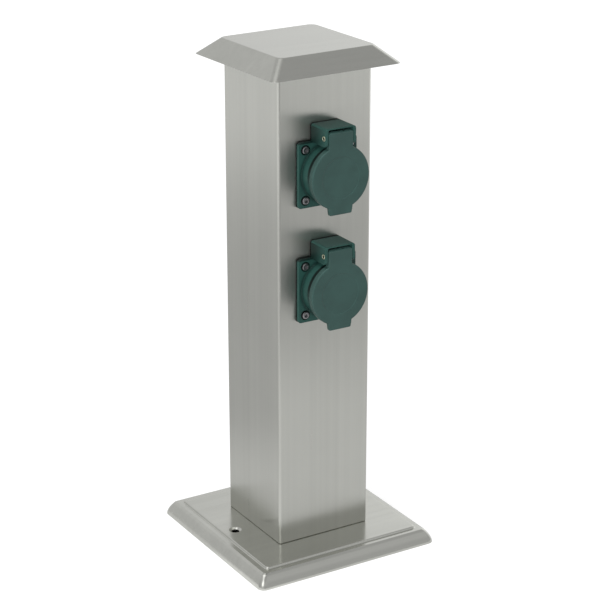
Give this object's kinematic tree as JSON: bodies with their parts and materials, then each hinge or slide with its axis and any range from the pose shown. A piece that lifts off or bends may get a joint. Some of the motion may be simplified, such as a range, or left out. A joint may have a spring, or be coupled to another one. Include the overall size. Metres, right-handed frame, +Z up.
{
  "type": "garden socket post",
  "caption": "Square stainless-steel garden post with a roof cap and base plate, carrying flange sockets with self-closing lids.",
  "frame": {"origin": "on the ground under the middle of the base plate", "axes": "+Z up along the post, the sockets face -Y, +X to the right seen from the front"},
  "size_m": [0.1596, 0.1596, 0.4],
  "materials": {
    "stainless": "brushed, satin",
    "zinc": "bright zinc",
    "screw_steel": "plain bright",
    "pin_metal": "plain bright",
    "spring_wire": "drawn",
    "brass": "plain",
    "green_plastic": "moulded satin",
    "dark_green_plastic": "moulded satin",
    "cream_plastic": "moulded",
    "rubber": "matt",
    "brown_wire": "smooth",
    "blue_wire": "smooth",
    "earth_wire": "smooth"
  },
  "bodies": {
    "post": {"base_plate": "stainless", "post_tube": "stainless", "post_cap": "stainless", "cap_collar": "zinc", "foot_brackets": "zinc", "rear_bracket": "zinc", "base_bolts": "zinc", "base_nuts": "zinc", "cable_grommet": "rubber", "terminal_block": "cream_plastic", "terminal_clamps": "brass", "clamp_screws": "zinc", "block_screws": "zinc", "bond_screw": "brass", "bond_lug": "zinc", "live_wires": "brown_wire", "neutral_wires": "blue_wire", "earth_wires": "earth_wire", "upper_gasket": "rubber", "upper_housing": "green_plastic", "upper_insert": "dark_green_plastic", "upper_pin_contacts": "brass", "upper_earth_contact": "brass", "upper_terminal_screws": "zinc", "upper_flange_screws": "screw_steel", "upper_flange_nuts": "zinc", "upper_hinge_pin": "pin_metal", "upper_lid_spring": "spring_wire", "lower_gasket": "rubber", "lower_housing": "green_plastic", "lower_insert": "dark_green_plastic", "lower_pin_contacts": "brass", "lower_earth_contact": "brass", "lower_terminal_screws": "zinc", "lower_flange_screws": "screw_steel", "lower_flange_nuts": "zinc", "lower_hinge_pin": "pin_metal", "lower_lid_spring": "spring_wire"},
    "upper_lid": {"upper_lid": "green_plastic", "upper_lid_seal": "rubber"},
    "lower_lid": {"lower_lid": "green_plastic", "lower_lid_seal": "rubber"}
  },
  "joints": [
    {"name": "upper_lid_hinge", "type": "hinge", "parent": "post", "child": "upper_lid", "pos_m": [0, -0.05955, 0.34075], "axis": [-1, 0, 0], "range_deg": [0, 105], "stiffness_Nm_per_rad": 0.02, "springref_deg": -57.3, "deforming": ["upper_lid_spring"]},
    {"name": "lower_lid_hinge", "type": "hinge", "parent": "post", "child": "lower_lid", "pos_m": [0, -0.05955, 0.25075], "axis": [-1, 0, 0], "range_deg": [0, 105], "stiffness_Nm_per_rad": 0.02, "springref_deg": -57.3, "deforming": ["lower_lid_spring"]}
  ]
}
